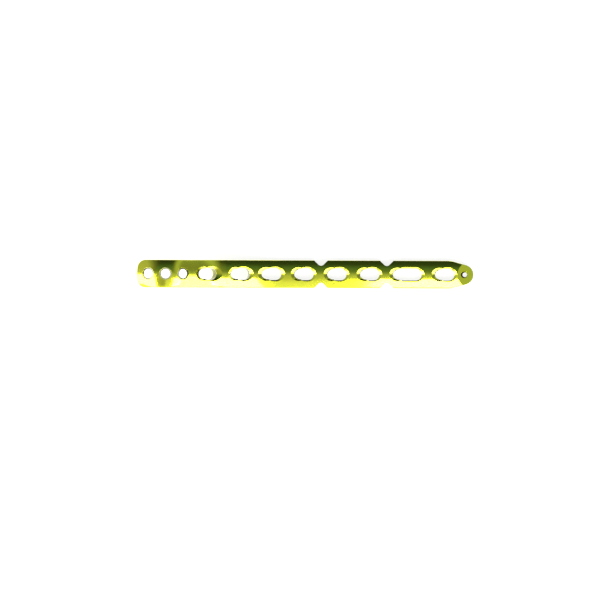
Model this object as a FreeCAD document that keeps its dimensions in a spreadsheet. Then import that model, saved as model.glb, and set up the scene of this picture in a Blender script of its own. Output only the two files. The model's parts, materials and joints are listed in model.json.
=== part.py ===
"""Orthopedic bone plate: one bar, bent up to a round head, pierced for locking and compression screws.

Millimetres and degrees. The origin is at the middle of the length and width, in the plane of the flat
underside. +X points to the bevelled nose, +Z to the crowned side, and Y = 0 is the plane of symmetry.
"""
import FreeCAD, Part
import os
from math import acos, asin, atan2, cos, degrees, radians, sin, sqrt, tan

import Sketcher

# Driving sizes, in millimetres and degrees

SIZES = {
    # the bar
    "plate_length": 132.8,
    "plate_width": 11.0,
    "plate_thickness": 4.0,
    "crown_radius": 11.5,
    "upper_edge_radius": 0.3,
    "lower_edge_radius": 0.4,
    # the head's crest, and the bends between the shaft and the head, with the straight runs
    "head_crest_setback": 9.9,
    "bend_radius": 68.7,
    "ramp_angle": 14.2,
    "ramp_length": 7.4,
    "knee_radius": 29.1,
    "neck_angle": 39.0,
    "neck_length": 5.8,
    "head_radius": 15.05,
    "head_drop_angle": 31.2,
    # what sets the underside apart from the crown there, so that the bar thins towards the head
    "knee_radius_gain": 2.4,
    "neck_angle_gain": 5.4,
    "neck_length_loss": 2.25,
    "head_radius_loss": 4.15,
    # the head's end, seen from above
    "head_corner_radius": 3.3,
    "head_end_radius": 16.0,
    # the nose
    "nose_radius": 3.95,
    "taper_length": 10.0,
    "taper_blend_radius": 8.0,
    "bevel_length": 6.35,
    "bevel_angle": 21.6,
    "toe_length": 3.9,
    "toe_angle": 13.0,
    # wire hole in the nose
    "wire_hole_setback": 3.4,
    "wire_hole_radius": 0.9,
    "wire_rim_radius": 1.25,
    "wire_rim_angle": 30.0,
    # combination holes: a threaded lobe and a compression slot
    "hole_setback": 13.4,
    "long_hole_spacing": 16.64,
    "hole_pitch": 13.0,
    "hole_pitch_slack": 1.0,
    "bend_hole_offset": 5.56,
    "neck_hole_spacing": 14.0,
    "thread_rim_radius": 3.1,
    "thread_mouth_radius": 2.1,
    "thread_foot_radius": 1.85,
    "slot_rim_radius": 3.35,
    "slot_rim_start": 2.95,
    "slot_radius": 2.35,
    "slot_start": 1.95,
    "slot_reach": 3.56,
    "long_slot_reach": 7.27,
    "rim_angle": 55.0,
    "rim_overlap": 0.1,
    # round threaded holes in the head
    "head_hole_setback": 4.1,
    "head_hole_pitch": 7.25,
    "head_hole_radius": 2.05,
    "head_rim_radius": 2.5,
    "head_rim_angle": 25.0,
    "head_hole_splay": 10.0,
    # waist notches in both edges and scallops across the underside
    "waist_offset": 4.17,
    "notch_depth": 2.1,
    "notch_radius": 1.5,
    "notch_flank_angle": 45.0,
    "scallop_depth": 0.88,
    "scallop_radius": 7.4,
    # how far a cutter reaches past the solid it cuts, and past the steep crown of the head
    "overrun": 1.0,
    "head_overrun": 3.0,
}

# Round holes in the head
HEAD_HOLE_COUNT = 3

# How far inside the solid an edge is probed, and how exactly
PROBE = 0.5
PROBE_TOLERANCE = 1e-6
# A wall counts as upright, and an edge as level, within these shares of the unit vector's height
UPRIGHT_WALL = 0.01
UPRIGHT_EDGE = 0.9
# A cut that takes less than this volume has missed the solid
LEAST_CUT = 0.01

doc = FreeCAD.newDocument("bone_plate")

sheet = doc.addObject("Spreadsheet::Sheet", "sizes")
for row, (name, value) in enumerate(SIZES.items(), start=1):
    sheet.set(f"A{row}", name)
    sheet.set(f"B{row}", str(value))
    sheet.setAlias(f"B{row}", name)
doc.recompute()


def size(name):
    """Value of one cell of the sheet."""
    return float(sheet.get(name))


body = doc.addObject("PartDesign::Body", "Body")
body.Label = "bone_plate"


# Stations: places worked out along the crown's line, which hangs on the head's crest

stations = doc.addObject("App::VarSet", "stations")


def station(name, expression):
    """Keeps one worked-out length or angle under a name, and returns the name for expressions."""
    stations.addProperty("App::PropertyFloat", name)
    stations.setExpression(name, expression)
    return f"stations.{name}"


station("inner_bend_radius", "sizes.bend_radius - sizes.plate_thickness")
station("under_knee_radius", "sizes.knee_radius + sizes.knee_radius_gain")
station("under_neck_angle", "sizes.neck_angle + sizes.neck_angle_gain")
station("under_neck_length", "sizes.neck_length - sizes.neck_length_loss")
station("under_head_radius", "sizes.head_radius - sizes.head_radius_loss")
station("head_x", "sizes.head_crest_setback - sizes.plate_length / 2")
station(
    "neck_span",
    "(sizes.knee_radius + sizes.head_radius) * sin(sizes.neck_angle)"
    " + sizes.neck_length * cos(sizes.neck_angle)",
)
station("knee_x", "head_x + neck_span")
station(
    "ramp_foot_x",
    "knee_x - sizes.knee_radius * sin(sizes.ramp_angle)"
    " + sizes.ramp_length * cos(sizes.ramp_angle)",
)
station("bend_x", "ramp_foot_x + inner_bend_radius * sin(sizes.ramp_angle)")
station("ramp_foot_z", "sizes.bend_radius - inner_bend_radius * cos(sizes.ramp_angle)")
station(
    "knee_z",
    "ramp_foot_z + sizes.ramp_length * sin(sizes.ramp_angle)"
    " + sizes.knee_radius * cos(sizes.ramp_angle)",
)
station(
    "head_z",
    "knee_z - (sizes.knee_radius + sizes.head_radius) * cos(sizes.neck_angle)"
    " + sizes.neck_length * sin(sizes.neck_angle)",
)
station("long_hole_x", "sizes.plate_length / 2 - sizes.hole_setback - sizes.long_hole_spacing")
station("first_hole_x", "bend_x + sizes.hole_pitch - sizes.bend_hole_offset")
station("shaft_hole_room", "long_hole_x + sizes.slot_reach / 2 - first_hole_x + sizes.hole_pitch_slack")
station("shaft_hole_count", "floor(shaft_hole_room / sizes.hole_pitch)")
doc.recompute()


# Sketch helpers

START, END, CENTRE = 1, 2, 3
AXIS_X, AXIS_Y = -1, -2
ORIGIN = (AXIS_X, START)


def origin_part(role):
    """One of the body's origin planes or axes."""
    return next(part for part in body.Origin.OriginFeatures if part.Role == role)


def new_sketch(name, role):
    """Empty sketch lying on an origin plane."""
    sketch = body.newObject("Sketcher::SketchObject", name)
    sketch.AttachmentSupport = [(origin_part(role), "")]
    sketch.MapMode = "FlatFace"
    return sketch


def bind(sketch, expression, *constraint):
    """Adds a dimension to a sketch and drives it by an expression."""
    index = sketch.addConstraint(Sketcher.Constraint(*constraint))
    sketch.setExpression(f"Constraints[{index}]", expression)


def join(sketch, *ends):
    """Makes pairs of curve ends, given as curve, end, curve, end, coincide."""
    sketch.addConstraint(Sketcher.Constraint("Coincident", *ends))


def polygon(sketch, points):
    """Closed run of lines, each joined to the next."""
    corners = [FreeCAD.Vector(x, y, 0) for x, y in points]
    ends = corners[1:] + corners[:1]
    lines = [sketch.addGeometry(Part.LineSegment(a, b), False) for a, b in zip(corners, ends)]
    for line, following in zip(lines, lines[1:] + lines[:1]):
        join(sketch, line, END, following, START)
    return lines


def rectangle(sketch, half_x, half_y):
    """Upright rectangle about the sketch's origin, whose first two sides are still to be measured."""
    sides = polygon(sketch, [(-half_x, -half_y), (half_x, -half_y), (half_x, half_y), (-half_x, half_y)])
    for side in sides[0], sides[2]:
        sketch.addConstraint(Sketcher.Constraint("Horizontal", side))
    for side in sides[1], sides[3]:
        sketch.addConstraint(Sketcher.Constraint("Vertical", side))
    sketch.addConstraint(Sketcher.Constraint("Symmetric", sides[0], START, sides[2], START, *ORIGIN))
    return sides


def cut_through(name, sketch):
    """Pocket right through the body, to both sides of its sketch."""
    pocket = body.newObject("PartDesign::Pocket", name)
    pocket.Profile = sketch
    pocket.Type = "ThroughAll"
    pocket.Midplane = True
    return pocket


class Pen:
    """Draws a smooth run of lines and arcs in a sketch, each tangent to the one before."""

    def __init__(self, sketch, x, y, heading):
        self.sketch = sketch
        self.x, self.y, self.heading = x, y, heading
        self.last = None

    def _follow(self, curve, near, far):
        if self.last:
            self.sketch.addConstraint(Sketcher.Constraint("Tangent", *self.last, curve, near))
        self.last = (curve, far)
        return curve

    def line(self, length):
        course = radians(self.heading)
        start = FreeCAD.Vector(self.x, self.y, 0)
        self.x += length * cos(course)
        self.y += length * sin(course)
        end = FreeCAD.Vector(self.x, self.y, 0)
        curve = self.sketch.addGeometry(Part.LineSegment(start, end), False)
        return self._follow(curve, START, END)

    def arc(self, radius, turn):
        """Turns left by a positive angle and right by a negative one."""
        side = 1 if turn > 0 else -1
        course = radians(self.heading)
        centre_x = self.x - side * radius * sin(course)
        centre_y = self.y + side * radius * cos(course)
        first = course - side * radians(90)
        self.heading += turn
        last = radians(self.heading) - side * radians(90)
        self.x = centre_x + radius * cos(last)
        self.y = centre_y + radius * sin(last)
        circle = Part.Circle(FreeCAD.Vector(centre_x, centre_y, 0), FreeCAD.Vector(0, 0, 1), radius)
        low, high = (first, last) if side > 0 else (last, first)
        curve = self.sketch.addGeometry(Part.ArcOfCircle(circle, low, high), False)
        near, far = (START, END) if side > 0 else (END, START)
        return self._follow(curve, near, far)


# The bar's side profile: two smooth runs from the nose to the head

HALF_LENGTH = "sizes.plate_length / 2"
SHAFT_RUN = f"{HALF_LENGTH} + sizes.overrun - stations.bend_x"


def bent_run(sketch, height, bend_radius, knee_radius, neck_angle, neck_length, head_radius):
    """Draws one bent line of the bar from beyond the nose to beyond the head.

    Each size is a pair: its value, and the expression that drives it.
    Returns the two end points, as curve and end.
    """
    half = size("plate_length") / 2
    reach = size("overrun")
    pen = Pen(sketch, half + reach, height[0], 180)
    shaft_length = half + reach - stations.bend_x
    shaft = pen.line(shaft_length)
    bend = pen.arc(bend_radius[0], -size("ramp_angle"))
    ramp = pen.line(size("ramp_length"))
    knee = pen.arc(knee_radius[0], size("ramp_angle") - neck_angle[0])
    neck = pen.line(neck_length[0])
    head = pen.arc(head_radius[0], neck_angle[0] + size("head_drop_angle"))
    drop = pen.line((pen.x + half + reach) / cos(radians(size("head_drop_angle"))))

    sketch.addConstraint(Sketcher.Constraint("Horizontal", shaft))
    bind(sketch, SHAFT_RUN, "Distance", shaft, shaft_length)
    bind(sketch, bend_radius[1], "Radius", bend, bend_radius[0])
    bind(sketch, "180 deg - sizes.ramp_angle * 1 deg", "Angle", ramp, radians(180 - size("ramp_angle")))
    bind(sketch, "sizes.ramp_length", "Distance", ramp, size("ramp_length"))
    bind(sketch, knee_radius[1], "Radius", knee, knee_radius[0])
    bind(sketch, f"180 deg - {neck_angle[1]} * 1 deg", "Angle", neck, radians(180 - neck_angle[0]))
    bind(sketch, neck_length[1], "Distance", neck, neck_length[0])
    bind(sketch, head_radius[1], "Radius", head, head_radius[0])
    bind(
        sketch, "sizes.head_drop_angle * 1 deg - 180 deg",
        "Angle", drop, radians(size("head_drop_angle") - 180),
    )
    bind(sketch, f"{HALF_LENGTH} + sizes.overrun", "DistanceX", drop, END, *ORIGIN, half + reach)
    bind(sketch, f"{HALF_LENGTH} + sizes.overrun", "DistanceX", *ORIGIN, shaft, START, half + reach)
    if height[0]:
        bind(sketch, height[1], "DistanceY", *ORIGIN, shaft, START, height[0])
    else:
        sketch.addConstraint(Sketcher.Constraint("PointOnObject", shaft, START, AXIS_X))
    return (shaft, START), (drop, END)


def pair(name, holder=None):
    """A size's value, or a station's, with the expression that names it."""
    if holder:
        return getattr(holder, name), f"{holder.Name}.{name}"
    return size(name), f"sizes.{name}"


def underside_run(sketch):
    """The underside's line, flat along the shaft."""
    return bent_run(
        sketch, (0.0, "0"), pair("bend_radius"), pair("under_knee_radius", stations),
        pair("under_neck_angle", stations), pair("under_neck_length", stations),
        pair("under_head_radius", stations),
    )


def crown_run(sketch):
    """The crown's line, the bar's thickness above the underside until the knee."""
    return bent_run(
        sketch, pair("plate_thickness"), pair("inner_bend_radius", stations), pair("knee_radius"),
        pair("neck_angle"), pair("neck_length"), pair("head_radius"),
    )


def bar():
    """Solid bar with the side profile, as wide as the plate."""
    sketch = new_sketch("side_profile", "XZ_Plane")
    low_nose, low_head = underside_run(sketch)
    high_nose, high_head = crown_run(sketch)
    for low, high in ((low_nose, high_nose), (low_head, high_head)):
        start = sketch.getPoint(*low)
        end = sketch.getPoint(*high)
        wall = sketch.addGeometry(Part.LineSegment(start, end), False)
        join(sketch, wall, START, *low)
        join(sketch, wall, END, *high)
    pad = body.newObject("PartDesign::Pad", "bar")
    pad.Profile = sketch
    pad.Midplane = True
    pad.setExpression("Length", "sizes.plate_width + 2 * sizes.overrun")


def crown():
    """Rounds the top across its width, following the crown's line."""
    path = new_sketch("crown_path", "XZ_Plane")
    crown_run(path)
    section = new_sketch("crown_section", "YZ_Plane")
    section.setExpression(".AttachmentOffset.Base.z", f"{HALF_LENGTH} + sizes.overrun")
    reach = size("plate_width") / 2 + 2 * size("overrun")
    radius = size("crown_radius")
    top = size("plate_thickness") + size("overrun")
    centre = size("plate_thickness") - radius
    foot = centre + sqrt(radius ** 2 - reach ** 2)
    slope = degrees(atan2(foot - centre, reach))
    circle = Part.Circle(FreeCAD.Vector(0, centre, 0), FreeCAD.Vector(0, 0, 1), radius)
    arc = section.addGeometry(Part.ArcOfCircle(circle, radians(slope), radians(180 - slope)), False)
    corners = [(-reach, foot), (-reach, top), (reach, top), (reach, foot)]
    sides = [
        section.addGeometry(Part.LineSegment(FreeCAD.Vector(*a, 0), FreeCAD.Vector(*b, 0)), False)
        for a, b in zip(corners, corners[1:])
    ]
    join(section, arc, END, sides[0], START)
    join(section, sides[0], END, sides[1], START)
    join(section, sides[1], END, sides[2], START)
    join(section, sides[2], END, arc, START)
    section.addConstraint(Sketcher.Constraint("Vertical", sides[0]))
    section.addConstraint(Sketcher.Constraint("Vertical", sides[2]))
    section.addConstraint(Sketcher.Constraint("Horizontal", sides[1]))
    section.addConstraint(Sketcher.Constraint("PointOnObject", arc, CENTRE, AXIS_Y))
    section.addConstraint(Sketcher.Constraint("Symmetric", arc, START, arc, END, AXIS_Y))
    bind(section, "sizes.crown_radius", "Radius", arc, radius)
    centre_text = "sizes.crown_radius - sizes.plate_thickness"
    bind(section, centre_text, "DistanceY", arc, CENTRE, *ORIGIN, -centre)
    bind(section, "sizes.plate_width + 4 * sizes.overrun", "Distance", sides[1], 2 * reach)
    bind(section, "sizes.plate_thickness + sizes.overrun", "DistanceY", *ORIGIN, sides[1], START, top)
    pipe = body.newObject("PartDesign::SubtractivePipe", "crown")
    pipe.Profile = section
    pipe.Spine = (path, [""])
    pipe.Mode = "Binormal"
    pipe.Binormal = FreeCAD.Vector(0, 1, 0)


# Outline seen from above

def outline():
    """Trims the bar to a head with round corners, straight edges and a taper to a round nose."""
    half, wide = size("plate_length") / 2, size("plate_width") / 2
    nose_radius, blend_radius = size("nose_radius"), size("taper_blend_radius")
    run = size("taper_length") - nose_radius
    fall = blend_radius - wide
    span = sqrt(run ** 2 + fall ** 2)
    taper_angle = degrees(atan2(run, fall) - acos((blend_radius - nose_radius) / span))
    taper = sqrt(span ** 2 - (blend_radius - nose_radius) ** 2)
    corner_radius, end_radius = size("head_corner_radius"), size("head_end_radius")
    corner_angle = degrees(asin((wide - corner_radius) / (end_radius - corner_radius)))
    corner_x = end_radius - half - (end_radius - corner_radius) * cos(radians(corner_angle))

    sketch = new_sketch("outline", "XY_Plane")
    start_x = half - nose_radius + nose_radius * sin(radians(taper_angle))
    pen = Pen(sketch, start_x, -nose_radius * cos(radians(taper_angle)), taper_angle)
    nose = pen.arc(nose_radius, 180 - 2 * taper_angle)
    pen.line(taper)
    left_blend = pen.arc(blend_radius, taper_angle)
    left_edge = pen.line(pen.x - corner_x)
    left_corner = pen.arc(corner_radius, 90 - corner_angle)
    head = pen.arc(end_radius, 2 * corner_angle)
    right_corner = pen.arc(corner_radius, 90 - corner_angle)
    right_edge = pen.line(half - size("taper_length") - pen.x)
    right_blend = pen.arc(blend_radius, taper_angle)
    right_taper = pen.line(taper)
    sketch.addConstraint(Sketcher.Constraint("Tangent", right_taper, END, nose, START))

    for edge in (left_edge, right_edge):
        sketch.addConstraint(Sketcher.Constraint("Horizontal", edge))
    for arc in (nose, head):
        sketch.addConstraint(Sketcher.Constraint("PointOnObject", arc, CENTRE, AXIS_X))
    bind(sketch, "sizes.plate_width / 2", "DistanceY", *ORIGIN, left_edge, START, wide)
    bind(sketch, "sizes.plate_width / 2", "DistanceY", right_edge, END, *ORIGIN, wide)
    bind(sketch, "sizes.nose_radius", "Radius", nose, nose_radius)
    bind(sketch, "sizes.head_end_radius", "Radius", head, end_radius)
    for arc in (left_corner, right_corner):
        bind(sketch, "sizes.head_corner_radius", "Radius", arc, corner_radius)
    nose_x = f"{HALF_LENGTH} - sizes.nose_radius"
    bind(sketch, nose_x, "DistanceX", *ORIGIN, nose, CENTRE, half - nose_radius)
    head_x = f"{HALF_LENGTH} - sizes.head_end_radius"
    bind(sketch, head_x, "DistanceX", head, CENTRE, *ORIGIN, half - end_radius)
    blend_x = f"{HALF_LENGTH} - sizes.taper_length"
    for arc in (left_blend, right_blend):
        bind(sketch, "sizes.taper_blend_radius", "Radius", arc, blend_radius)
        bind(sketch, blend_x, "DistanceX", *ORIGIN, arc, CENTRE, half - size("taper_length"))

    margin = 3 * size("overrun")
    frame = rectangle(sketch, half + margin, wide + margin)
    bind(sketch, "sizes.plate_length + 6 * sizes.overrun", "Distance", frame[0], 2 * (half + margin))
    bind(sketch, "sizes.plate_width + 6 * sizes.overrun", "Distance", frame[1], 2 * (wide + margin))
    cut_through("trim", sketch)


# Edges

def plan_spine_x(x):
    """The nearest point's X on the middle line that runs from the head's centre to the nose's."""
    half = size("plate_length") / 2
    return min(max(x, size("plate_width") / 2 - half), half - size("nose_radius"))


def rim_edges(upper):
    """Names of the edges where the outline's walls meet the top, or else the underside."""
    shape = body.Shape
    walls = [face for face in shape.Faces if abs(face.normalAt(*middle_of(face)).z) < UPRIGHT_WALL]
    names = []
    for number, edge in enumerate(shape.Edges, start=1):
        middle = (edge.FirstParameter + edge.LastParameter) / 2
        point = edge.valueAt(middle)
        upright = abs(edge.tangentAt(middle).z) > UPRIGHT_EDGE
        if upright or not any(edge.isSame(other) for wall in walls for other in wall.Edges):
            continue
        inward = FreeCAD.Vector(plan_spine_x(point.x) - point.x, -point.y, 0)
        probe = point + inward.normalize() * PROBE
        below = shape.isInside(probe - FreeCAD.Vector(0, 0, PROBE), PROBE_TOLERANCE, False)
        if below == upper:
            names.append(f"Edge{number}")
    return names


def middle_of(face):
    """A face's middle, as its two surface parameters."""
    low_u, high_u, low_v, high_v = face.ParameterRange
    return (low_u + high_u) / 2, (low_v + high_v) / 2


def round_edges(name, edges, radius_name):
    """Fillet along the named edges of the body as it is now."""
    fillet = body.newObject("PartDesign::Fillet", name)
    fillet.Base = (fillet.BaseFeature, edges)
    fillet.setExpression("Radius", f"sizes.{radius_name}")


# Nose bevel and toe

def wedge(name, setback, angle, height, side):
    """Slanting cut across the nose: it starts a setback from the end and deepens outwards.

    Height is the level it starts from, as value and expression; side is 1 to cut above it, -1 below.
    """
    reach = size("overrun")
    end_x = size("plate_length") / 2 + reach
    slope = tan(radians(size(angle)))
    depth = (size(setback) + reach) * slope + reach
    base = height[0] + side * reach
    sketch = new_sketch(f"{name}_section", "XZ_Plane")
    corners = [(end_x - depth / slope, base), (end_x, base), (end_x, base - side * depth)]
    level, end_wall, _ = polygon(sketch, corners)
    sketch.addConstraint(Sketcher.Constraint("Horizontal", level))
    sketch.addConstraint(Sketcher.Constraint("Vertical", end_wall))
    slope_text = f"tan(sizes.{angle})"
    depth_text = f"(sizes.{setback} + sizes.overrun) * {slope_text} + sizes.overrun"
    bind(sketch, depth_text, "Distance", end_wall, depth)
    bind(sketch, f"({depth_text}) / {slope_text}", "Distance", level, depth / slope)
    bind(sketch, f"{HALF_LENGTH} + sizes.overrun", "DistanceX", *ORIGIN, level, END, end_x)
    level_ends = (*ORIGIN, level, END) if side > 0 else (level, END, *ORIGIN)
    bind(sketch, height[1], "DistanceY", *level_ends, abs(base))
    cut_through(name, sketch)


def nose_cuts():
    """Long bevel down to the nose, and a shorter rise of the underside to meet it."""
    thickness = size("plate_thickness")
    crown_level = (thickness, "sizes.plate_thickness + sizes.overrun")
    wedge("nose_bevel", "bevel_length", "bevel_angle", crown_level, 1)
    wedge("toe", "toe_length", "toe_angle", (0.0, "sizes.overrun"), -1)


# Frames of the holes

class Frame:
    """Where a hole stands: its point on the crown's line, and its lean towards the nose."""

    def __init__(self, x, z, lean=None, towards_nose=True):
        self.x, self.z, self.lean, self.towards_nose = x, z, lean, towards_nose

    def shifted(self, along, up="0"):
        """The frame moved along the bar, towards the nose, and up along its own axis."""
        sine = f"sin({self.lean})" if self.lean else "0"
        cosine = f"cos({self.lean})" if self.lean else "1"
        side = "+" if self.towards_nose else "-"
        return Frame(
            f"{self.x} + ({along}) * {cosine} {side} ({up}) * {sine}",
            f"{self.z} + ({up}) * {cosine} {'-' if self.towards_nose else '+'} ({along}) * {sine}",
            self.lean, self.towards_nose,
        )

    def place(self, sketch, role):
        """Sets a sketch on this frame: upright along the bar, or flat across the hole's axis."""
        upright = role == "XZ_Plane"
        axis = FreeCAD.Vector(0, 0, -1) if upright else FreeCAD.Vector(0, 1, 0)
        if not self.towards_nose:
            axis = -axis
        if self.lean:
            # The expression keeps the axis and replaces the angle
            sketch.AttachmentOffset = FreeCAD.Placement(FreeCAD.Vector(), FreeCAD.Rotation(axis, 1))
            sketch.setExpression(".AttachmentOffset.Rotation.Angle", self.lean)
        sketch.setExpression(".AttachmentOffset.Base.x", self.x)
        sketch.setExpression(".AttachmentOffset.Base." + ("y" if upright else "z"), self.z)


def combination_hole_frames():
    """Frames of the combination holes, from the nose to the head, each with its slot's reach.

    The third is the first of those alike along the straight shaft.
    """
    flat = "sizes.plate_thickness"
    nose_hole = Frame("sizes.plate_length / 2 - sizes.hole_setback + sizes.slot_reach / 2", flat)
    long_hole = Frame("stations.long_hole_x + sizes.long_slot_reach / 2", flat)
    shaft_hole = Frame("stations.first_hole_x", flat)

    lean = station("bend_hole_lean", "sizes.bend_hole_offset / sizes.bend_radius * 180 / pi")
    bend_hole = Frame(
        f"stations.bend_x - stations.inner_bend_radius * sin({lean})",
        f"sizes.bend_radius - stations.inner_bend_radius * cos({lean})",
        lean,
    )
    climb = station(
        "ramp_hole_climb",
        "sizes.bend_hole_offset + sizes.hole_pitch - sizes.bend_radius * sizes.ramp_angle * pi / 180",
    )
    ramp_hole = Frame(
        f"stations.ramp_foot_x - {climb} * cos(sizes.ramp_angle)",
        f"stations.ramp_foot_z + {climb} * sin(sizes.ramp_angle)",
        "sizes.ramp_angle",
    )
    lean = station(
        "knee_hole_lean",
        "sizes.ramp_angle + (ramp_hole_climb + sizes.neck_hole_spacing - sizes.ramp_length)"
        " / under_knee_radius * 180 / pi",
    )
    knee_hole = Frame(
        f"stations.knee_x - sizes.knee_radius * sin({lean})",
        f"stations.knee_z - sizes.knee_radius * cos({lean})",
        lean,
    )
    return {
        "nose_hole": (nose_hole, "slot_reach"),
        "long_hole": (long_hole, "long_slot_reach"),
        "shaft_hole": (shaft_hole, "slot_reach"),
        "bend_hole": (bend_hole, "slot_reach"),
        "ramp_hole": (ramp_hole, "slot_reach"),
        "knee_hole": (knee_hole, "slot_reach"),
    }


# Holes

RIM_SLOPE = "tan(sizes.rim_angle)"


def socket(name, frame, rim, rim_angle, mouth, foot, overrun="overrun"):
    """Turned hole through the bar: a conical rim, then a bore that narrows from its mouth to its foot."""
    reach = size(overrun)
    rim_slope = tan(radians(size(rim_angle)))
    slope_text = f"tan(sizes.{rim_angle})"
    wide = size(rim) + reach * rim_slope
    sink = (size(rim) - size(mouth)) / rim_slope
    deep = size("plate_thickness")
    sketch = new_sketch(f"{name}_section", "XZ_Plane")
    frame.place(sketch, "XZ_Plane")
    lid, cone, bore, tail, floor, axis = polygon(sketch, [
        (0, reach), (wide, reach), (size(mouth), -sink),
        (size(foot), -deep), (size(foot), -deep - reach), (0, -deep - reach),
    ])
    for flat in (lid, floor):
        sketch.addConstraint(Sketcher.Constraint("Horizontal", flat))
    for upright in (tail, axis):
        sketch.addConstraint(Sketcher.Constraint("Vertical", upright))
    sketch.addConstraint(Sketcher.Constraint("PointOnObject", lid, START, AXIS_Y))
    bind(sketch, f"sizes.{overrun}", "DistanceY", *ORIGIN, lid, START, reach)
    bind(sketch, f"sizes.{rim} + sizes.{overrun} * {slope_text}", "Distance", lid, wide)
    bind(sketch, f"sizes.{mouth}", "DistanceX", *ORIGIN, bore, START, size(mouth))
    bind(sketch, f"(sizes.{rim} - sizes.{mouth}) / {slope_text}", "DistanceY", bore, START, *ORIGIN, sink)
    bind(sketch, f"sizes.{foot}", "Distance", floor, size(foot))
    bind(sketch, "sizes.plate_thickness", "DistanceY", bore, END, *ORIGIN, deep)
    bind(sketch, f"sizes.{overrun}", "Distance", tail, reach)
    groove = body.newObject("PartDesign::Groove", name)
    groove.Profile = sketch
    groove.ReferenceAxis = (sketch, ["V_Axis"])
    groove.Angle = 360
    return groove


def slot_sketch(name, frame, first, last, radius):
    """Stadium seen along the hole's axis, between its end centres' places along the bar.

    Each size is a pair: its value, and the expression that drives it.
    """
    sketch = new_sketch(name, "XY_Plane")
    frame.shifted("0", "sizes.overrun").place(sketch, "XY_Plane")
    span = last[0] - first[0]
    pen = Pen(sketch, last[0], radius[0], 180)
    upper = pen.line(span)
    near_end = pen.arc(radius[0], 180)
    lower = pen.line(span)
    far_end = pen.arc(radius[0], 180)
    sketch.addConstraint(Sketcher.Constraint("Tangent", far_end, END, upper, START))
    sketch.addConstraint(Sketcher.Constraint("Horizontal", lower))
    for arc in (near_end, far_end):
        sketch.addConstraint(Sketcher.Constraint("PointOnObject", arc, CENTRE, AXIS_X))
    bind(sketch, radius[1], "Radius", far_end, radius[0])
    bind(sketch, last[1], "DistanceX", *ORIGIN, far_end, CENTRE, last[0])
    bind(sketch, f"{last[1]} - ({first[1]})", "DistanceX", near_end, CENTRE, far_end, CENTRE, span)
    return sketch


def combination_hole(name, frame, reach):
    """Compression slot with a sloping rim, and a threaded lobe beside it towards the head.

    The slot comes first, so that the seam of the turned lobe falls in the open.
    """
    half_reach = size(reach) / 2
    half_text = f"sizes.{reach} / 2"
    start = (size("slot_start") - half_reach, f"sizes.slot_start - {half_text}")
    slot = body.newObject("PartDesign::Pocket", f"{name}_slot")
    slot.Profile = slot_sketch(
        f"{name}_slot_shape", frame, start, (half_reach, half_text), pair("slot_radius"),
    )
    slot.setExpression("Length", "sizes.plate_thickness + 3 * sizes.overrun")

    start = (size("slot_rim_start") - half_reach, f"sizes.slot_rim_start - {half_text}")
    lid_radius = size("slot_rim_radius") + size("overrun") * tan(radians(size("rim_angle")))
    lid_text = f"sizes.slot_rim_radius + sizes.overrun * {RIM_SLOPE}"
    rim = body.newObject("PartDesign::Pocket", f"{name}_rim")
    rim.Profile = slot_sketch(
        f"{name}_rim_shape", frame, start, (half_reach, half_text), (lid_radius, lid_text),
    )
    depth_text = f"(sizes.slot_rim_radius - sizes.slot_radius) / {RIM_SLOPE}"
    rim.setExpression("Length", f"{depth_text} + sizes.overrun + sizes.rim_overlap")
    rim.setExpression("TaperAngle", "-sizes.rim_angle")

    lobe = socket(
        f"{name}_lobe", frame.shifted(f"-sizes.{reach} / 2"),
        "thread_rim_radius", "rim_angle", "thread_mouth_radius", "thread_foot_radius",
    )
    return [slot, rim, lobe]


def repeat_along_shaft(features):
    """Repeats a hole towards the nose, a pitch apart, up to the long hole."""
    pattern = body.newObject("PartDesign::LinearPattern", "shaft_holes")
    pattern.Originals = features
    pattern.Direction = (origin_part("X_Axis"), [""])
    pattern.setExpression("Length", "(stations.shaft_hole_count - 1) * sizes.hole_pitch")
    pattern.setExpression("Occurrences", "stations.shaft_hole_count")
    body.Tip = pattern


def head_hole_frames():
    """Frames of the three round holes: they splay a little, with the middle one upright."""
    frames = []
    middle = HEAD_HOLE_COUNT // 2
    for count in range(HEAD_HOLE_COUNT):
        x = station(
            f"head_hole_{count + 1}_x",
            f"{count} * sizes.head_hole_pitch + sizes.head_hole_setback - sizes.plate_length / 2",
        )
        z = station(
            f"head_hole_{count + 1}_z",
            f"head_z + sqrt(sizes.head_radius ^ 2 - (head_hole_{count + 1}_x - head_x) ^ 2)",
        )
        lean = None if count == middle else "sizes.head_hole_splay"
        frames.append(Frame(x, z, lean, towards_nose=count > middle))
    return frames


# Waist notches and underside scallops

def waist(lobe_x):
    """Middle of the narrow place on the head side of a threaded lobe."""
    return f"{lobe_x} - sizes.waist_offset"


def shaft_lobe(count):
    """Middle of the threaded lobe some pitches from the first hole of the straight shaft."""
    return f"stations.first_hole_x - sizes.slot_reach / 2 + {count} * sizes.hole_pitch"


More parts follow.
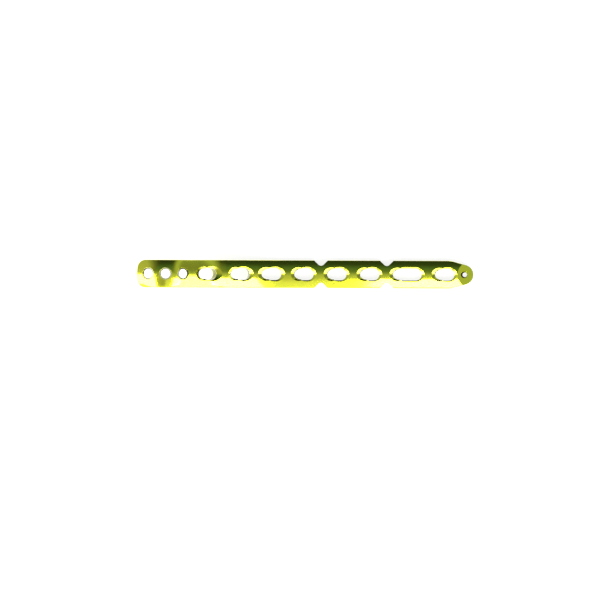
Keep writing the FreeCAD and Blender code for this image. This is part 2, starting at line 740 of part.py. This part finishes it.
def notch(name, x):
    """Round-bottomed notch with slanting flanks, cut in both edges."""
    wide, radius, reach = size("plate_width") / 2, size("notch_radius"), size("overrun")
    flank = radians(size("notch_flank_angle"))
    centre_y = wide - size("notch_depth") + radius
    foot_x, foot_y = radius * sin(flank), centre_y - radius * cos(flank)
    rise = wide + reach - foot_y
    mouth_x = foot_x + rise / tan(flank)

    sketch = new_sketch(f"{name}_shape", "XY_Plane")
    sketch.setExpression(".AttachmentOffset.Base.x", x)
    pen = Pen(sketch, -mouth_x, wide + reach, -size("notch_flank_angle"))
    left = pen.line(rise / sin(flank))
    bottom = pen.arc(radius, 2 * size("notch_flank_angle"))
    right = pen.line(rise / sin(flank))
    lid_ends = sketch.getPoint(right, END), sketch.getPoint(left, START)
    lid = sketch.addGeometry(Part.LineSegment(*lid_ends), False)
    join(sketch, lid, START, right, END)
    join(sketch, lid, END, left, START)
    sketch.addConstraint(Sketcher.Constraint("Symmetric", right, END, left, START, AXIS_Y))
    sketch.addConstraint(Sketcher.Constraint("PointOnObject", bottom, CENTRE, AXIS_Y))
    bind(sketch, "sizes.notch_flank_angle * 1 deg", "Angle", right, flank)
    bind(sketch, "sizes.notch_radius", "Radius", bottom, radius)
    centre_text = "sizes.plate_width / 2 - sizes.notch_depth + sizes.notch_radius"
    bind(sketch, centre_text, "DistanceY", *ORIGIN, bottom, CENTRE, centre_y)
    bind(sketch, "sizes.plate_width / 2 + sizes.overrun", "DistanceY", *ORIGIN, lid, START, wide + reach)

    pocket = cut_through(f"{name}_left", sketch)
    mirrored = body.newObject("PartDesign::Mirrored", f"{name}_right")
    mirrored.Originals = [pocket]
    mirrored.MirrorPlane = (origin_part("XZ_Plane"), [""])
    body.Tip = mirrored


def scallop(name, x):
    """Shallow round hollow across the underside."""
    radius = size("scallop_radius")
    sketch = new_sketch(f"{name}_shape", "XZ_Plane")
    sketch.setExpression(".AttachmentOffset.Base.x", x)
    centre = FreeCAD.Vector(0, size("scallop_depth") - radius, 0)
    circle = sketch.addGeometry(Part.Circle(centre, FreeCAD.Vector(0, 0, 1), radius), False)
    sketch.addConstraint(Sketcher.Constraint("PointOnObject", circle, CENTRE, AXIS_Y))
    bind(sketch, "sizes.scallop_radius", "Radius", circle, radius)
    drop_text = "sizes.scallop_radius - sizes.scallop_depth"
    bind(sketch, drop_text, "DistanceY", circle, CENTRE, *ORIGIN, -centre.y)
    cut_through(name, sketch)


# The plate, feature by feature

bar()
crown()
outline()
doc.recompute()
round_edges("upper_rounding", rim_edges(upper=True), "upper_edge_radius")
doc.recompute()
round_edges("lower_rounding", rim_edges(upper=False), "lower_edge_radius")
doc.recompute()

nose_cuts()
notch("shaft_notch", waist(shaft_lobe(1)))
notch("long_hole_notch", waist("stations.long_hole_x"))
scallop("shaft_scallop", waist(shaft_lobe(2)))
scallop("nose_scallop", waist("sizes.plate_length / 2 - sizes.hole_setback"))

for hole, (frame, reach) in combination_hole_frames().items():
    features = combination_hole(hole, frame, reach)
    if hole == "shaft_hole":
        repeat_along_shaft(features)

for number, frame in enumerate(head_hole_frames(), start=1):
    socket(
        f"head_hole_{number}", frame,
        "head_rim_radius", "head_rim_angle", "head_hole_radius", "head_hole_radius", "head_overrun",
    )

wire_x = station("wire_hole_x", "sizes.plate_length / 2 - sizes.wire_hole_setback")
wire_z = station(
    "wire_hole_z",
    "sizes.plate_thickness - (sizes.bevel_length - sizes.wire_hole_setback) * tan(sizes.bevel_angle)",
)
socket(
    "wire_hole", Frame(wire_x, wire_z),
    "wire_rim_radius", "wire_rim_angle", "wire_hole_radius", "wire_hole_radius",
)
doc.recompute()

# Checks, then the file

for item in doc.Objects:
    if "Invalid" in item.State or "Error" in item.State:
        raise ValueError(f"{item.Name} failed: {item.State}")
    if item.isDerivedFrom("Sketcher::SketchObject") and not item.FullyConstrained:
        raise ValueError(f"{item.Name} isn't fully constrained")

volume = None
for step in body.Group:
    if not step.isDerivedFrom("PartDesign::Feature"):
        continue
    left = step.Shape.Volume
    if volume and volume - left < LEAST_CUT:
        raise ValueError(f"{step.Name} removes nothing")
    volume = left

plate = body.Shape
if plate.isNull() or not plate.isValid() or len(plate.Solids) != 1:
    raise ValueError("the plate isn't one valid solid")

os.makedirs("parts", exist_ok=True)
plate.exportStep(f"parts/{body.Label}.step")
print(f"{body.Label}: {volume:.1f} cubic millimetres")
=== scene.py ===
"""Studio picture of the bone plate from straight above, with its anodised finish and its screw threads."""

import json
from math import cos, pi, radians, sin

import bmesh
import bpy
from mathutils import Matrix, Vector
from mathutils.bvhtree import BVHTree


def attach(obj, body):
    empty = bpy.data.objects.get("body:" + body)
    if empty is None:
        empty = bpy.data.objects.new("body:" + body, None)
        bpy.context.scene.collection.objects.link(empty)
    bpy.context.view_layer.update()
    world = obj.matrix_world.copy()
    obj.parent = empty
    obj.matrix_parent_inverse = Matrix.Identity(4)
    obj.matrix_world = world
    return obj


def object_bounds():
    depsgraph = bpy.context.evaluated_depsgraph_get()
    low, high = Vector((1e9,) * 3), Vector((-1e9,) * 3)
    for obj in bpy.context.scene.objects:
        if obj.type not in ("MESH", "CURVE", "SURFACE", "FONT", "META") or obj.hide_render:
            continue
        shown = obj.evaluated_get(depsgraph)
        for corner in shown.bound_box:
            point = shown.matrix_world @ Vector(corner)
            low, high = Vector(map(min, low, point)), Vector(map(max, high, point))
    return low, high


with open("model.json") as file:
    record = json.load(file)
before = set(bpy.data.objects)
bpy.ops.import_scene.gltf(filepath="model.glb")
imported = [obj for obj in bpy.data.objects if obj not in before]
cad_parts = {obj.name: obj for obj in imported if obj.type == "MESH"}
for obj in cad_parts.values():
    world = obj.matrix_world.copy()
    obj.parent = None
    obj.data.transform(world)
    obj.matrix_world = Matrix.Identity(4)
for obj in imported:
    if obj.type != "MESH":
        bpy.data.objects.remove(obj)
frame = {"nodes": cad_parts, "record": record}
CAD_BOX = [list(corner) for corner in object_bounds()]

MM = 0.001
WHITE = (1, 1, 1, 1)
scene = bpy.context.scene
plate = frame["nodes"]["bone_plate"]

# Camera: far off with a long lens, so that the raised head doesn't shift

PICTURE_WIDTH = 237.15 * MM
SENSOR_WIDTH = 36.0
CAMERA_HEIGHT = 6.0
CLIP_RANGE = (0.1, 20.0)
AIM = (-2.06 * MM, -10.2 * MM)
ROLL = radians(0.22)

camera_data = bpy.data.cameras.new("camera")
camera_data.sensor_width = SENSOR_WIDTH
camera_data.lens = SENSOR_WIDTH * CAMERA_HEIGHT / PICTURE_WIDTH
camera_data.clip_start, camera_data.clip_end = CLIP_RANGE
camera = bpy.data.objects.new("camera", camera_data)
camera.location = (*AIM, CAMERA_HEIGHT)
camera.rotation_euler = (0, 0, ROLL)
scene.collection.objects.link(camera)
scene.camera = camera
scene.view_settings.view_transform = "Standard"


# Helpers

def new_material(name):
    """Material with an empty node tree."""
    material = bpy.data.materials.new(name)
    material.use_nodes = True
    material.node_tree.nodes.clear()
    return material


def level_sheet(name, x, y, z, material):
    """Level sheet of one material, from x to x and from y to y."""
    mesh = bpy.data.meshes.new(name)
    corners = [(x[0], y[0], 0), (x[1], y[0], 0), (x[1], y[1], 0), (x[0], y[1], 0)]
    mesh.from_pydata(corners, [], [(0, 1, 2, 3)])
    mesh.materials.append(material)
    sheet = bpy.data.objects.new(name, mesh)
    sheet.location.z = z
    scene.collection.objects.link(sheet)
    return sheet


class Tree:
    """Short way to add and link nodes."""

    def __init__(self, tree):
        self.tree = tree

    def add(self, kind, inputs=None, **settings):
        """Node with its settings, and its inputs as values or as sockets to link."""
        node = self.tree.nodes.new(kind)
        for key, value in settings.items():
            setattr(node, key, value)
        for key, value in (inputs or {}).items():
            if isinstance(value, bpy.types.NodeSocket):
                self.tree.links.new(value, node.inputs[key])
            else:
                node.inputs[key].default_value = value
        return node

    def maths(self, operation, a, b, **settings):
        """Two values put through one operation."""
        node = self.add("ShaderNodeMath", {0: a, 1: b}, operation=operation, **settings)
        return node.outputs[0]

    def mix(self, blend_type, a, b):
        """Two colours mixed at full strength."""
        inputs = {"Factor": 1.0, "A": a, "B": b}
        node = self.add("ShaderNodeMix", inputs, data_type="RGBA", blend_type=blend_type)
        return node.outputs["Result"]

    def noise(self, space, scale, detail):
        """Noise over a space."""
        inputs = {"Vector": space, "Scale": scale, "Detail": detail}
        return self.add("ShaderNodeTexNoise", inputs).outputs["Fac"]

    def bump(self, height, distance, strength, normal):
        """Normal that a fine relief is added to."""
        inputs = {"Height": height, "Distance": distance, "Strength": strength, "Normal": normal}
        return self.add("ShaderNodeBump", inputs).outputs[0]

    def ramp(self, fac, stops):
        """Colour ramp over stops of place and colour."""
        node = self.add("ShaderNodeValToRGB", {"Fac": fac})
        elements = node.color_ramp.elements
        while len(elements) < len(stops):
            elements.new(0.5)
        for element, (place, colour) in zip(elements, stops):
            element.position = place
            element.color = (*colour, 1.0)
        return node.outputs["Color"]

    def direction_ramp(self, component, stops):
        """Ramp over one component of a direction, from -1 to 1; its colours may pass 1."""
        inputs = {"Value": component, "From Min": -1.0, "From Max": 1.0}
        place = self.add("ShaderNodeMapRange", inputs).outputs["Result"]
        return self.ramp(place, [((stop + 1) / 2, colour) for stop, colour in stops])


# Surround: dark behind the plate, bright in front of it and grey towards both ends

SURROUND_BY_DEPTH = [
    (-1.00, (1.00, 1.00, 1.00)),
    (-0.96, (4.20, 4.20, 4.20)),
    (-0.87, (4.20, 4.20, 4.20)),
    (-0.80, (0.92, 0.92, 0.92)),
    (-0.52, (0.86, 0.86, 0.86)),
    (-0.42, (0.68, 0.69, 0.66)),
    (-0.30, (0.56, 0.58, 0.56)),
    (-0.12, (0.51, 0.54, 0.53)),
    (-0.02, (0.44, 0.48, 0.48)),
    (0.07, (0.26, 0.32, 0.34)),
    (0.20, (0.13, 0.19, 0.21)),
    (0.42, (0.08, 0.15, 0.17)),
    (0.62, (0.03, 0.05, 0.06)),
    (1.00, (0.01, 0.02, 0.02)),
]
SURROUND_BY_LENGTH = [
    (-1.00, (0.50, 0.52, 0.54)),
    (-0.62, (0.44, 0.47, 0.49)),
    (-0.35, (0.14, 0.16, 0.17)),
    (-0.10, (0.02, 0.02, 0.02)),
    (0.50, (0.03, 0.03, 0.03)),
    (0.66, (0.42, 0.49, 0.44)),
    (0.72, (0.42, 0.49, 0.44)),
    (0.82, (0.24, 0.28, 0.26)),
    (1.00, (0.20, 0.23, 0.22)),
]
# A brighter patch low on the right, towards the front, which the neck's slope mirrors
PATCH_COURSE = (0.80, -0.60, 0.0)
PATCH_BY_COURSE = [
    (0.80, (0.0, 0.0, 0.0)),
    (0.87, (6.5, 6.5, 6.5)),
]

world = bpy.data.worlds.new("surround")
world.use_nodes = True
world.node_tree.nodes.clear()
tree = Tree(world.node_tree)
direction = tree.add("ShaderNodeTexCoord").outputs["Generated"]
split = tree.add("ShaderNodeSeparateXYZ", {"Vector": direction}).outputs
by_depth = tree.direction_ramp(split["Y"], SURROUND_BY_DEPTH)
by_length = tree.direction_ramp(split["X"], SURROUND_BY_LENGTH)
course = tree.add("ShaderNodeVectorMath", {0: direction, 1: PATCH_COURSE}, operation="DOT_PRODUCT")
patch = tree.direction_ramp(course.outputs["Value"], PATCH_BY_COURSE)
glow = tree.mix("LIGHTEN", tree.mix("LIGHTEN", by_depth, by_length), patch)
background = tree.add("ShaderNodeBackground", {"Color": glow, "Strength": 1.0})
tree.add("ShaderNodeOutputWorld", {"Surface": background.outputs["Background"]})
scene.world = world


# Softboxes over the front, and a grey card over the head; their areas go from x to x and from y to y

SOFTBOX_AREAS = {
    "softbox_right": ((0.026, 0.150), (-0.165, -0.044)),
    "softbox_left": ((-0.520, -0.102), (-0.165, -0.010)),
}
SOFTBOX_HEIGHT = 0.130
SOFTBOX_RADIANCE = 8.5
CARD_AREA = ((-0.095, -0.035), (-0.150, 0.0))
CARD_HEIGHT = 0.125
CARD_GLOW = 0.38


def softbox(name, x, y):
    """Level panel of light over an area, that the camera doesn't see."""
    light = bpy.data.lights.new(name, "AREA")
    light.shape = "RECTANGLE"
    light.size = x[1] - x[0]
    light.size_y = y[1] - y[0]
    light.energy = SOFTBOX_RADIANCE * pi * light.size * light.size_y
    panel = bpy.data.objects.new(name, light)
    panel.location = ((x[0] + x[1]) / 2, (y[0] + y[1]) / 2, SOFTBOX_HEIGHT)
    panel.visible_camera = False
    scene.collection.objects.link(panel)


for name, area in SOFTBOX_AREAS.items():
    softbox(name, *area)

card_material = new_material("grey_card")
tree = Tree(card_material.node_tree)
shine = tree.add("ShaderNodeEmission", {"Color": WHITE, "Strength": CARD_GLOW})
tree.add("ShaderNodeOutputMaterial", {"Surface": shine.outputs[0]})
card = level_sheet("grey_card", *CARD_AREA, CARD_HEIGHT, card_material)
card.visible_camera = False


# Floor: a white sheet that keeps the plate's soft shadow and is clear from below

FLOOR_REACH = 1.5
FLOOR_GAP = 0.02 * MM
FLOOR_GLOW = 0.85
FLOOR_GREY = (0.28, 0.28, 0.28, 1)

paper = new_material("white_paper")
tree = Tree(paper.node_tree)
path = tree.add("ShaderNodeLightPath").outputs
seen = tree.maths("ADD", path["Is Camera Ray"], path["Is Glossy Ray"])
seen = tree.maths("ADD", seen, path["Is Transmission Ray"], use_clamp=True)
lit = tree.maths("MULTIPLY", seen, FLOOR_GLOW)
shine = tree.add("ShaderNodeEmission", {"Color": WHITE, "Strength": lit})
matt = tree.add("ShaderNodeBsdfDiffuse", {"Color": FLOOR_GREY})
both = tree.add("ShaderNodeAddShader", {0: shine.outputs[0], 1: matt.outputs[0]})
clear = tree.add("ShaderNodeBsdfTransparent")
from_below = tree.add("ShaderNodeNewGeometry").outputs["Backfacing"]
faced = tree.add("ShaderNodeMixShader", {0: from_below, 1: both.outputs[0], 2: clear.outputs[0]})
tree.add("ShaderNodeOutputMaterial", {"Surface": faced.outputs[0]})

floor_span = (-FLOOR_REACH, FLOOR_REACH)
floor = level_sheet("floor", floor_span, floor_span, CAD_BOX[0][2] - FLOOR_GAP, paper)


# Anodised metal: yellow-green, with brushed and blasted traces under a clear coat, and painted shade in
# its hollows

TINT = [
    (0.3, (0.74, 0.80, 0.014)),
    (0.5, (0.80, 0.83, 0.014)),
    (0.7, (0.84, 0.84, 0.018)),
]
CLOUD_SCALE, CLOUD_DETAIL = 300.0, 4.0
GRAIN_SCALE, GRAIN_DETAIL, GRAIN_STRETCH = 700.0, 3.0, (1, 9, 9)
BLAST_SCALE, BLAST_DETAIL = 2400.0, 2.0
ROUGHNESS = (0.12, 0.20)
BUMP_HEIGHT = 0.02 * MM
BLAST_STRENGTH, GRAIN_STRENGTH = 0.25, 0.15
EDGE_SOFTNESS = 0.06 * MM
# Painted shade: narrow places, such as the threaded walls and the hole rims, get a darker base colour
# where ambient occlusion is strong, standing in for the shade that falls in them
HOLE_REACH = 5.0 * MM
PAINTED_HOLE_SHADE = [
    (0.60, (0.04, 0.04, 0.04)),
    (0.97, (1.0, 1.0, 1.0)),
]

anodised = new_material("anodised_metal")
tree = Tree(anodised.node_tree)
coords = tree.add("ShaderNodeTexCoord").outputs["Object"]
stretched = tree.add("ShaderNodeMapping", {"Vector": coords, "Scale": GRAIN_STRETCH}).outputs[0]
grain = tree.noise(stretched, GRAIN_SCALE, GRAIN_DETAIL)
blast = tree.noise(coords, BLAST_SCALE, BLAST_DETAIL)
tint = tree.ramp(tree.noise(coords, CLOUD_SCALE, CLOUD_DETAIL), TINT)
rough = tree.add("ShaderNodeMapRange", {"Value": grain, "To Min": ROUGHNESS[0], "To Max": ROUGHNESS[1]})
soft_edge = tree.add("ShaderNodeBevel", {"Radius": EDGE_SOFTNESS}, samples=6).outputs["Normal"]
blasted = tree.bump(blast, BUMP_HEIGHT, BLAST_STRENGTH, soft_edge)
brushed = tree.bump(grain, BUMP_HEIGHT, GRAIN_STRENGTH, blasted)
# Ambient occlusion drives the painted shade that darkens the base colour in hollows and rims
closed_in = tree.add("ShaderNodeAmbientOcclusion", {"Distance": HOLE_REACH}, samples=8, only_local=True)
painted_shade = tree.ramp(closed_in.outputs["AO"], PAINTED_HOLE_SHADE)
metal = tree.add("ShaderNodeBsdfPrincipled", {
    "Base Color": tree.mix("MULTIPLY", tint, painted_shade),
    "Metallic": 1.0,
    "Roughness": rough.outputs["Result"],
    "Normal": brushed,
    "Coat Weight": 1.0,
    "Coat Roughness": 0.08,
    "Coat IOR": 1.6,
})
tree.add("ShaderNodeOutputMaterial", {"Surface": metal.outputs[0]})
for material_slot in plate.material_slots:
    material_slot.material = anodised


# Screw threads: helical ridges on the round walls of the holes

THREAD_PITCH = 0.7 * MM
THREAD_HEIGHT = 0.16 * MM
THREAD_FOOT = 0.12 * MM
THREAD_WIDTH = 0.55 * MM
STEPS_A_TURN = 56
RUN_OUT = 5
SHORTEST_RUN = 2 * RUN_OUT
WALL_TOLERANCE = 0.12 * MM
# How far past the ends of a wall its helix is still tried
HEAD_OVERRUN = 0.9 * MM
LOBE_OVERRUN = 0.6 * MM

# The threaded lobes, and how far they lie from the middle of their hole, towards the head
LOBE_MOUTH = 2.1 * MM
LOBE_FOOT = 1.85 * MM
LOBE_DEPTH = 4.0 * MM
LOBE_RIM = 3.1 * MM
RIM_ANGLE = radians(55)
LOBE_SHIFT = 1.78 * MM
LONG_LOBE_SHIFT = 3.635 * MM
LONG_HOLE = "combination_hole_2"

SIDE = Vector((0, 1, 0))

plate_points = [vertex.co for vertex in plate.data.vertices]
plate_faces = [tuple(polygon.vertices) for polygon in plate.data.polygons]
wall_tree = BVHTree.FromPolygons(plate_points, plate_faces)


def wall_near(origin, outward, wall):
    """Whether the solid has its wall where it is expected."""
    hit = wall_tree.ray_cast(origin, outward)[0]
    return hit is not None and abs((hit - origin).length - wall) < WALL_TOLERANCE


def helix_runs(mouth, down, radius_at, depth):
    """Stretches of a helix that have a wall behind them.

    Each is a list of steps, with their point on the hole's axis, their direction and the wall's radius.
    """
    across = down.cross(SIDE).normalized()
    reaches = [down * offset for offset in (-THREAD_WIDTH / 2, 0, THREAD_WIDTH / 2)]
    runs, run = [], []
    count = int(depth / THREAD_PITCH * STEPS_A_TURN)
    for step in range(count + 1):
        sink = depth * step / count
        angle = 2 * pi * sink / THREAD_PITCH
        outward = across * cos(angle) + SIDE * sin(angle)
        origin = mouth + down * sink
        wall = radius_at(sink)
        if all(wall_near(origin + reach, outward, wall) for reach in reaches):
            run.append((origin, outward, wall))
        else:
            runs.append(run)
            run = []
    runs.append(run)
    return [run for run in runs if len(run) > SHORTEST_RUN]


def add_ridge(mesh, run, down):
    """Ridge of triangular section along one run, sinking into the wall at both ends."""
    reach = down * THREAD_WIDTH / 2
    rows = []
    for number, (origin, outward, wall) in enumerate(run):
        share = min(1.0, number / RUN_OUT, (len(run) - 1 - number) / RUN_OUT)
        crest = origin + outward * (wall + THREAD_FOOT - share * (THREAD_FOOT + THREAD_HEIGHT))
        foot = origin + outward * (wall + THREAD_FOOT)
        rows.append([mesh.verts.new(point) for point in (foot - reach, crest, foot + reach)])
    for row, following in zip(rows, rows[1:]):
        for a, b in ((0, 1), (1, 2), (2, 0)):
            mesh.faces.new((row[a], row[b], following[b], following[a]))
    mesh.faces.new(rows[0])
    mesh.faces.new(rows[-1][::-1])


def thread(mesh, mouth, down, radius_at, depth):
    """All ridges of one hole's thread."""
    for run in helix_runs(mouth, down, radius_at, depth):
        add_ridge(mesh, run, down)


rim_depth = (LOBE_RIM - LOBE_MOUTH) * cos(RIM_ANGLE) / sin(RIM_ANGLE)
taper = (LOBE_MOUTH - LOBE_FOOT) / (LOBE_DEPTH - rim_depth)

thread_mesh = bmesh.new()
for mount in frame["record"]["mounts"]:
    place, up = Vector(mount["pos_m"]), Vector(mount["axis"])
    if mount["name"].startswith("head_hole"):
        length, radius = mount["dims"]["length_mm"] * MM, mount["dims"]["r_mm"] * MM
        top = place + up * (length / 2 + HEAD_OVERRUN)
        thread(thread_mesh, top, -up, lambda sink: radius, length + 2 * HEAD_OVERRUN)
    elif mount["name"].startswith("combination_hole"):
        shift = LONG_LOBE_SHIFT if mount["name"] == LONG_HOLE else LOBE_SHIFT
        mouth = place - SIDE.cross(up) * shift - up * rim_depth
        depth = LOBE_DEPTH + LOBE_OVERRUN - rim_depth
        thread(thread_mesh, mouth, -up, lambda sink: LOBE_MOUTH - taper * sink, depth)
bmesh.ops.recalc_face_normals(thread_mesh, faces=thread_mesh.faces)

thread_data = bpy.data.meshes.new("screw_threads")
thread_mesh.to_mesh(thread_data)
thread_mesh.free()
thread_data.materials.append(anodised)
threads = bpy.data.objects.new("screw_threads", thread_data)
scene.collection.objects.link(threads)
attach(threads, "root")
